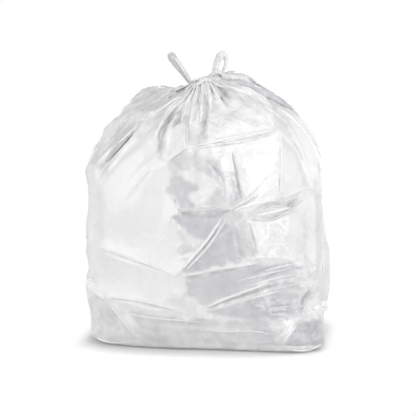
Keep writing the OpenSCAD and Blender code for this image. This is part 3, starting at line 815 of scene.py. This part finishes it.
def closed_skin(name, rings, start, end, pale_with_painted_light, crumple):
    """A closed piece from rings of points: a grid wrapped round, merged along its seam and at its ends."""
    count, columns = rings.shape[:2]
    bpy.ops.mesh.primitive_grid_add(x_subdivisions=columns, y_subdivisions=count + 1, calc_uvs=False)
    piece = bpy.context.active_object
    piece.name = name
    placed = np.zeros((count + 2, columns + 1, 3))
    placed[1:-1, :-1] = rings
    placed[0, :], placed[-1, :] = start, end
    placed[:, -1] = placed[:, 0]
    set_coordinates(piece.data, placed.reshape(-1, 3))
    # The pale attribute carries the film's tone with painted light and shade in it
    for label, values in (("pale_with_painted_light", DULL_AT + (1 - DULL_AT) * pale_with_painted_light), ("crumple", crumple)):
        level = np.zeros((count + 2, columns + 1))
        level[1:-1, :-1] = values
        level[0], level[-1] = level[1].mean(), level[-2].mean()
        level[:, -1] = level[:, 0]
        marks = piece.data.attributes.new(label, "FLOAT", "POINT")
        marks.data.foreach_set("value", np.clip(level, 0, 1).ravel())
    bpy.ops.object.mode_set(mode="EDIT")
    bpy.ops.mesh.select_all(action="SELECT")
    bpy.ops.mesh.remove_doubles(threshold=SEAM_WELD)
    bpy.ops.mesh.normals_make_consistent(inside=False)
    bpy.ops.object.mode_set(mode="OBJECT")
    bpy.ops.object.shade_smooth()
    return piece


def make_film():
    """The film from the foot to the neck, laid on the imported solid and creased."""
    rings, pale_with_painted_light, crumple = creased(close_neck(film_rings()))
    foot = (rings[0, :, 0].mean(), rings[0, :, 1].mean(), 0)
    return closed_skin("liner_film", rings, foot, rings[-1].mean(0), pale_with_painted_light, crumple)


def smooth_run(values, count):
    """A smooth run through given values, evenly spaced, by Catmull and Rom's curve."""
    values = np.array(values, float)
    ends = np.concatenate((2 * values[:1] - values[1:2], values, 2 * values[-1:] - values[-2:-1]))
    t = np.linspace(0, len(values) - 1, count)
    k = np.minimum(t.astype(int), len(values) - 2)
    f = (t - k).reshape((-1,) + (1,) * (values.ndim - 1))
    a, b, c, d = ends[k], ends[k + 1], ends[k + 2], ends[k + 3]
    square, cube = 2 * a - 5 * b + 4 * c - d, 3 * b - a - 3 * c + d
    return 0.5 * (2 * b + (c - a) * f + square * f ** 2 + cube * f ** 3)


def photo_place(x, y, nearer):
    """A point of the frame that the photograph shows at a pixel, some millimetres towards the camera."""
    half = PHOTO_SIDE / 2
    across = ((x - half) * TO_RIGHT + (half - y) * TO_TOP) * METRES_PER_PIXEL
    return np.array(AIM) + across + TO_CAMERA * nearer * MM


def on_film(tree, places):
    """Points that the photograph shows at pixels, lifted off the film's face there by some millimetres.

    Where the face turns away, they stay within FACE_DROP of the depth of the first."""
    eye = np.array(AIM) + TO_CAMERA * CAMERA_DISTANCE
    depth = None
    points = []
    for x, y, lift in places:
        way = photo_place(x, y, 0) - eye
        hit = tree.ray_cast(Vector(eye), Vector(way))[0]
        nearer = 0.0 if hit is None else (np.array(hit) - np.array(AIM)) @ TO_CAMERA / MM
        depth = nearer if depth is None else depth
        nearer = max(nearer, depth - FACE_DROP)
        points.append(eye + way * (1 - (nearer + lift) * MM / CAMERA_DISTANCE))
    return points


def flutes(theta, share, pleats, seed):
    """How far each place of a strand stands out or in, by its pleats, which wander round and along it."""
    around = [(math.cos(t) * WANDER_ROUND + seed, math.sin(t) * WANDER_ROUND) for t in theta]
    wander = np.array([[noise.noise(Vector((*place, s * WANDER_ALONG))) for place in around] for s in share])
    return np.abs(np.sin(theta * pleats / 2 + wander * STRAND_WANDER + seed)) ** FLUTE_CREST - FLUTE_FOOT


def strand(name, points, widths, thicks, turns, pleats, fluted, pale_with_painted_light, seed,
           rings_count=STRAND_RINGS, columns=STRAND_COLUMNS, film=None):
    """Gathered film: a pleated, flattened roll through places in the photograph, closed at both ends.

    Widths and thicknesses are half measures in millimetres, turns are degrees away from facing the camera.
    With a tree of the film's face, the third value of a place is its height off the film, not its depth."""
    middle = smooth_run(on_film(film, points) if film else [photo_place(*p) for p in points], rings_count)
    share = np.linspace(0, 1, rings_count)
    ends = np.sqrt(np.clip(1 - (2 * share - 1) ** STRAND_BLUNT, STRAND_TIP, 1))
    width = smooth_run(widths, rings_count) * MM
    thick = smooth_run(thicks, rings_count) * MM
    turn = np.radians(smooth_run(turns, rings_count))[:, None]
    along = unit(np.gradient(middle, axis=0))
    side = unit(np.cross(along, TO_CAMERA))
    face = unit(np.cross(side, along))
    across = side * np.cos(turn) + face * np.sin(turn)
    outwards = face * np.cos(turn) - side * np.sin(turn)
    theta = np.arange(columns) * 2 * math.pi / columns
    fluting = flutes(theta, share, pleats, seed)
    size = 1 + fluted * fluting
    wide = across[:, None] * (width * ends)[:, None, None] * (np.cos(theta) * size)[..., None]
    deep = outwards[:, None] * (thick * ends)[:, None, None] * (np.sin(theta) * size)[..., None]
    rings = middle[:, None] + wide + deep
    start = Vector((seed, 0, 0))
    shift = np.array([noise.noise_vector(Vector(q) * WRINKLE_SCALE + start) for q in rings.reshape(-1, 3)])
    rings = rings + shift.reshape(rings.shape) * thick.mean() * WRINKLE_SHARE
    # Crests of the pleats are painted paler as highlights and their feet darker as shade
    pales_with_painted_pleats = pale_with_painted_light + FLUTE_PAINTED_LIGHT * fluting
    return closed_skin(name, rings, rings[0].mean(0), rings[-1].mean(0), pales_with_painted_pleats, STRAND_CRUMPLE)


def make_tie(film):
    """The knot and the ears of spare film, and the gathers, folds, creases and valleys on the film's face."""
    face = BVHTree.FromObject(film, bpy.context.evaluated_depsgraph_get())
    pieces = [strand(*row) for row in STRANDS]
    for kind, rows, thick, pleats, fluted, columns in ROLLS:
        for k, (points, widths, pale_with_painted_light) in enumerate(rows):
            thicks, turns = [thick] * len(widths), [0] * len(widths)
            pieces.append(strand(f"{kind}_{k}", points, widths, thicks, turns, pleats, fluted, pale_with_painted_light,
                                 k * ROLL_SEED_STEP, ROLL_RINGS, columns, face))
    return pieces


def add_node(tree, kind, inputs, **settings):
    """A new node with its settings; each input, by name or place, gets a value or the socket that feeds it."""
    made = tree.nodes.new(kind)
    for name, value in settings.items():
        setattr(made, name, value)
    for key, value in inputs.items():
        if isinstance(value, bpy.types.NodeSocket):
            tree.links.new(value, made.inputs[key])
        else:
            made.inputs[key].default_value = value
    return made


def add_math(tree, operation, *values):
    """The output of a new math node on values or sockets."""
    return add_node(tree, "ShaderNodeMath", dict(enumerate(values)), operation=operation).outputs[0]


def seen_straight(tree):
    """1 where the camera, a reflection or a look through a surface falls, 0 for the light on a surface."""
    path = add_node(tree, "ShaderNodeLightPath", {})
    straight = add_math(tree, "MAXIMUM", path.outputs["Is Camera Ray"], path.outputs["Is Glossy Ray"])
    return add_math(tree, "MAXIMUM", straight, path.outputs["Is Transmission Ray"])


def mixed(tree, share, first, second):
    """A mix of two shaders' outputs by the share of the second."""
    return add_node(tree, "ShaderNodeMixShader", {"Fac": share, 1: first, 2: second}).outputs["Shader"]


def far_from_sack(tree):
    """1 on the floor away from the sack and 0 close to it, with a soft edge that is a rounded rectangle."""
    place = add_node(tree, "ShaderNodeTexCoord", {}).outputs["Object"]
    axes = add_node(tree, "ShaderNodeSeparateXYZ", {0: place})
    powers = []
    for axis, reach in zip("XY", SHADOW_REACH):
        share = add_math(tree, "ABSOLUTE", add_math(tree, "DIVIDE", axes.outputs[axis], reach))
        powers.append(add_math(tree, "POWER", share, SHADOW_CORNERS))
    total = add_math(tree, "POWER", add_math(tree, "ADD", *powers), 1 / SHADOW_CORNERS)
    starts, ends = SHADOW_FADE
    return add_node(tree, "ShaderNodeMapRange", {"Value": total, "From Min": starts, "From Max": ends},
                    interpolation_type="SMOOTHSTEP").outputs["Result"]


def painted_contact_shadow(tree):
    """A painted shadow: how dark the floor is painted close under the sack, from how open it is there."""
    openness = add_node(tree, "ShaderNodeAmbientOcclusion", {"Distance": CONTACT_REACH}).outputs["AO"]
    starts, ends = CONTACT_OPEN
    return add_node(tree, "ShaderNodeMapRange", {"Value": openness, "From Min": starts, "From Max": ends,
                                                 "To Min": CONTACT_SHADE, "To Max": 0.0}).outputs["Result"]


def white_floor():
    """A white floor that shows pure white, but keeps the soft shadow close to the sack, deepened there by a
    painted contact shadow.
    """
    bpy.ops.mesh.primitive_plane_add(size=FLOOR_SIDE)
    floor = bpy.context.active_object
    floor.name = "studio_floor"
    material = bpy.data.materials.new("studio_white")
    material.use_nodes = True
    tree = material.node_tree
    shader = tree.nodes["Principled BSDF"]
    shader.inputs["Base Color"].default_value = FLOOR_COLOUR
    shader.inputs["Roughness"].default_value = FLOOR_ROUGHNESS
    shader.inputs["Specular IOR Level"].default_value = FLOOR_SHEEN
    seen = seen_straight(tree)
    lift = add_node(tree, "ShaderNodeEmission", {"Strength": add_math(tree, "MULTIPLY", seen, FLOOR_LIFT)})
    lit = add_node(tree, "ShaderNodeAddShader", {0: shader.outputs["BSDF"], 1: lift.outputs["Emission"]})
    black = add_node(tree, "ShaderNodeEmission", {"Color": BLACK})
    white = add_node(tree, "ShaderNodeEmission", {"Color": WHITE})
    # Black is mixed in close under the sack as a painted contact shadow
    painted_shadow_share = add_math(tree, "MULTIPLY", seen, painted_contact_shadow(tree))
    far = add_math(tree, "MULTIPLY", seen, far_from_sack(tree))
    shaded = mixed(tree, painted_shadow_share, lit.outputs["Shader"], black.outputs["Emission"])
    shown = mixed(tree, far, shaded, white.outputs["Emission"])
    tree.links.new(shown, tree.nodes["Material Output"].inputs["Surface"])
    floor.data.materials.append(material)


def studio_world():
    """White where the camera or a reflection looks, and a dimmer even fill for the surfaces."""
    world = bpy.data.worlds.new("studio")
    bpy.context.scene.world = world
    world.use_nodes = True
    tree = world.node_tree
    tree.nodes.clear()
    fill = add_node(tree, "ShaderNodeBackground", {"Color": FILL_COLOUR, "Strength": WORLD_FILL})
    white = add_node(tree, "ShaderNodeBackground", {"Color": WHITE, "Strength": 1.0})
    shown = mixed(tree, seen_straight(tree), fill.outputs["Background"], white.outputs["Background"])
    add_node(tree, "ShaderNodeOutputWorld", {"Surface": shown})


def softbox(name, azimuth, distance, height, width, tall, radiance):
    """A flat diffuse lamp that faces the sack from an azimuth, with its middle at a height."""
    a = math.radians(azimuth)
    place = Vector((math.sin(a) * distance, -math.cos(a) * distance, height))
    lamp = bpy.data.lights.new(name, "AREA")
    lamp.shape = "RECTANGLE"
    lamp.size, lamp.size_y = width, tall
    lamp.energy = radiance * math.pi * width * tall
    holder = bpy.data.objects.new(name, lamp)
    bpy.context.collection.objects.link(holder)
    holder.location = place
    holder.rotation_euler = (Vector((0, 0, LAMP_AIM)) - place).to_track_quat("-Z", "Y").to_euler()


def crinkle_group():
    """Fine crinkles of thin film: from a place, a height from 0 to 1 and a soft mottle from 0 to 1."""
    group = bpy.data.node_groups.new("film_crinkle", "ShaderNodeTree")
    group.interface.new_socket("Place", in_out="INPUT", socket_type="NodeSocketVector")
    group.interface.new_socket("Height", in_out="OUTPUT", socket_type="NodeSocketFloat")
    group.interface.new_socket("Mottle", in_out="OUTPUT", socket_type="NodeSocketFloat")
    place = group.nodes.new("NodeGroupInput").outputs["Place"]
    bend = add_node(group, "ShaderNodeTexNoise", {"Scale": CRINKLE_BEND_SCALE, "Vector": place})
    bending = {0: bend.outputs["Color"], 1: (CRINKLE_BEND,) * 3, 2: place}
    bent = add_node(group, "ShaderNodeVectorMath", bending, operation="MULTIPLY_ADD").outputs[0]
    height = 0.0
    for scale, share in CRINKLE_CELLS:
        cells = add_node(group, "ShaderNodeTexVoronoi", {"Scale": scale, "Vector": bent})
        height = add_math(group, "ADD", add_math(group, "MULTIPLY", cells.outputs["Distance"], share), height)
    grain = add_node(group, "ShaderNodeTexNoise", {"Scale": GRAIN_SCALE, "Detail": GRAIN_DETAIL,
                                                   "Vector": bent})
    height = add_math(group, "ADD", add_math(group, "MULTIPLY", grain.outputs[0], GRAIN_SHARE), height)
    mottle = add_node(group, "ShaderNodeTexNoise", {"Scale": MOTTLE_SCALE, "Detail": MOTTLE_DETAIL,
                                                    "Distortion": MOTTLE_TWIST, "Vector": bent})
    add_node(group, "NodeGroupOutput", {"Height": height, "Mottle": mottle.outputs[0]})
    return group


def film_material():
    """Pale, slightly milky film, greyer on dark contents, darker with painted shade and paler with painted
    highlights, with a glossy, finely crinkled face.
    """
    material = bpy.data.materials.new("milky_film")
    material.use_nodes = True
    tree = material.node_tree
    shader = tree.nodes["Principled BSDF"]
    own_pale_with_painted_light = add_node(tree, "ShaderNodeAttribute", {}, attribute_name="pale_with_painted_light").outputs["Fac"]
    crumple = add_node(tree, "ShaderNodeAttribute", {}, attribute_name="crumple").outputs["Fac"]
    place = add_node(tree, "ShaderNodeTexCoord", {}).outputs["Object"]
    crinkle = add_node(tree, "ShaderNodeGroup", {"Place": place}, node_tree=crinkle_group())
    centred = add_math(tree, "MULTIPLY_ADD", crinkle.outputs["Mottle"], MOTTLE, -MOTTLE / 2)
    pale_with_painted_light = add_math(tree, "MULTIPLY_ADD", centred, crumple, own_pale_with_painted_light)
    # The ramp runs from painted shade in folds, through the dull tone, to the palest film with its painted
    # highlights
    tones = add_node(tree, "ShaderNodeValToRGB", {"Fac": pale_with_painted_light})
    tones.color_ramp.elements[0].color = (*FILM_PAINTED_FOLD_SHADE, 1)
    tones.color_ramp.elements[1].color = (*FILM_PALE, 1)
    tones.color_ramp.elements.new(DULL_AT).color = (*FILM_DULL, 1)
    tones.color_ramp.elements.new(MIDDLE_AT).color = (*FILM_MIDDLE, 1)
    tree.links.new(tones.outputs["Color"], shader.inputs["Base Color"])
    depth = add_math(tree, "MULTIPLY", crumple, CRINKLE_STRENGTH)
    bump = add_node(tree, "ShaderNodeBump", {"Distance": CRINKLE_HEIGHT, "Strength": depth,
                                             "Height": crinkle.outputs["Height"]})
    tree.links.new(bump.outputs["Normal"], shader.inputs["Normal"])
    shader.inputs["Roughness"].default_value = FILM_ROUGHNESS
    shader.inputs["IOR"].default_value = FILM_IOR
    return material


def photo_camera():
    """The camera that sees the sack as the photograph does."""
    data = bpy.data.cameras.new("photo_camera")
    data.sensor_width = SENSOR_MM
    data.lens = FOCAL_PIXELS * SENSOR_MM / PHOTO_SIDE
    data.clip_end = FARTHEST_SEEN
    camera = bpy.data.objects.new("photo_camera", data)
    bpy.context.collection.objects.link(camera)
    camera.location = AIM + Vector(TO_CAMERA) * CAMERA_DISTANCE
    camera.rotation_euler = (-Vector(TO_CAMERA)).to_track_quat("-Z", "Y").to_euler()
    bpy.context.scene.camera = camera


photo_camera()
studio_world()
white_floor()
for lamp in LAMPS:
    softbox(*lamp)
bpy.context.scene.view_settings.view_transform = "Standard"

noise.seed_set(DRAWS_START)
film = make_film()
material = film_material()
film.data.materials.append(material)
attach(film, "root")
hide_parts("liner")
for piece in make_tie(film):
    piece.data.materials.append(material)
    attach(piece, "root")
